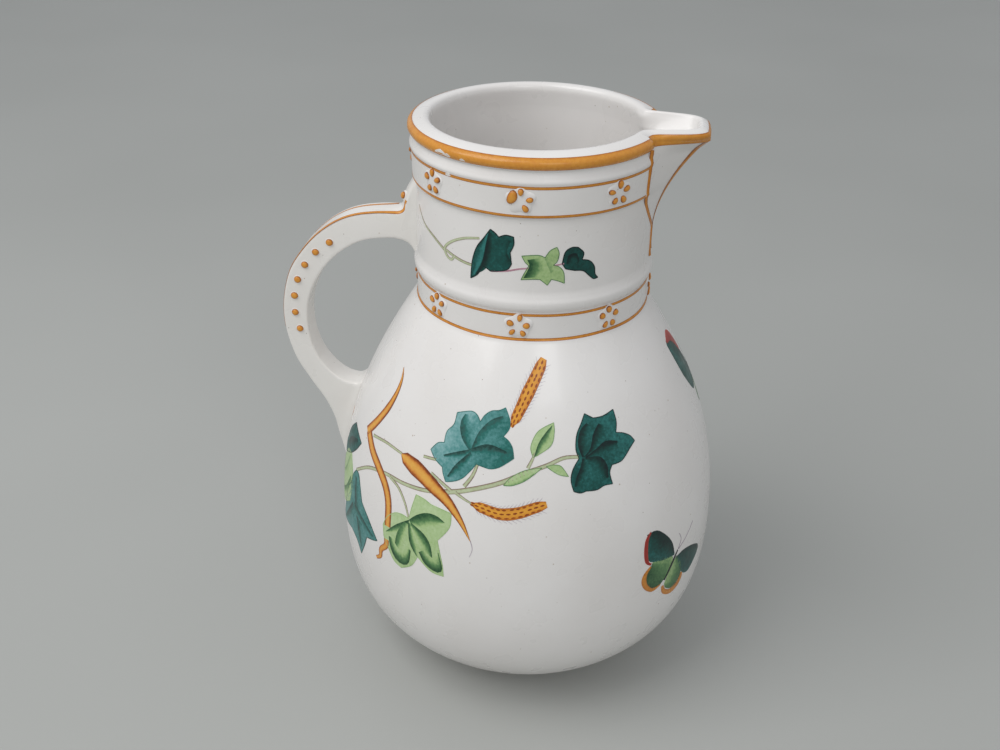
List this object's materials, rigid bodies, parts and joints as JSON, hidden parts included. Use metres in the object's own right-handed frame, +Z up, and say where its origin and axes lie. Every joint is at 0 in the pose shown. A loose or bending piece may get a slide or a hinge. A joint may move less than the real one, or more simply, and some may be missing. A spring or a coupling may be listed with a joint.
{
  "type": "ceramic pitcher",
  "caption": "Glazed earthenware pitcher with an egg-shaped belly, banded neck, V-shaped pouring spout, strap handle and painted ivy sprays.",
  "frame": {"origin": "centre of the flat foot, on the plane that the pitcher stands on", "axes": "+Z up along the body's axis, +X towards the spout, the handle on the -X side"},
  "size_m": [0.1727, 0.1506, 0.2272],
  "materials": {
    "glazed_body": "glossy white glaze on earthenware",
    "glazed_spout": "glossy white glaze on earthenware",
    "glazed_handle": "glossy white glaze on earthenware",
    "ochre_beads": "ochre enamel on raised clay beads",
    "relief_flowers": "ochre enamel on white relief flowers"
  },
  "bodies": {
    "root": {"body": "glazed_body", "spout": "glazed_spout", "handle": "glazed_handle", "crest_bead": "ochre_beads", "handle_bead_near_1": "ochre_beads", "handle_bead_near_2": "ochre_beads", "handle_bead_near_3": "ochre_beads", "handle_bead_near_4": "ochre_beads", "handle_bead_near_5": "ochre_beads", "handle_bead_near_6": "ochre_beads", "handle_bead_near_7": "ochre_beads", "handle_bead_far_1": "ochre_beads", "handle_bead_far_2": "ochre_beads", "handle_bead_far_3": "ochre_beads", "handle_bead_far_4": "ochre_beads", "handle_bead_far_5": "ochre_beads", "handle_bead_far_6": "ochre_beads", "handle_bead_far_7": "ochre_beads", "upper_flower_1": "relief_flowers", "upper_flower_2": "relief_flowers", "upper_flower_3": "relief_flowers", "upper_flower_4": "relief_flowers", "upper_flower_5": "relief_flowers", "upper_flower_6": "relief_flowers", "upper_flower_7": "relief_flowers", "lower_flower_1": "relief_flowers", "lower_flower_2": "relief_flowers", "lower_flower_3": "relief_flowers", "lower_flower_4": "relief_flowers", "lower_flower_5": "relief_flowers", "lower_flower_6": "relief_flowers", "lower_flower_7": "relief_flowers", "lower_flower_8": "relief_flowers"}
  },
  "joints": []
}
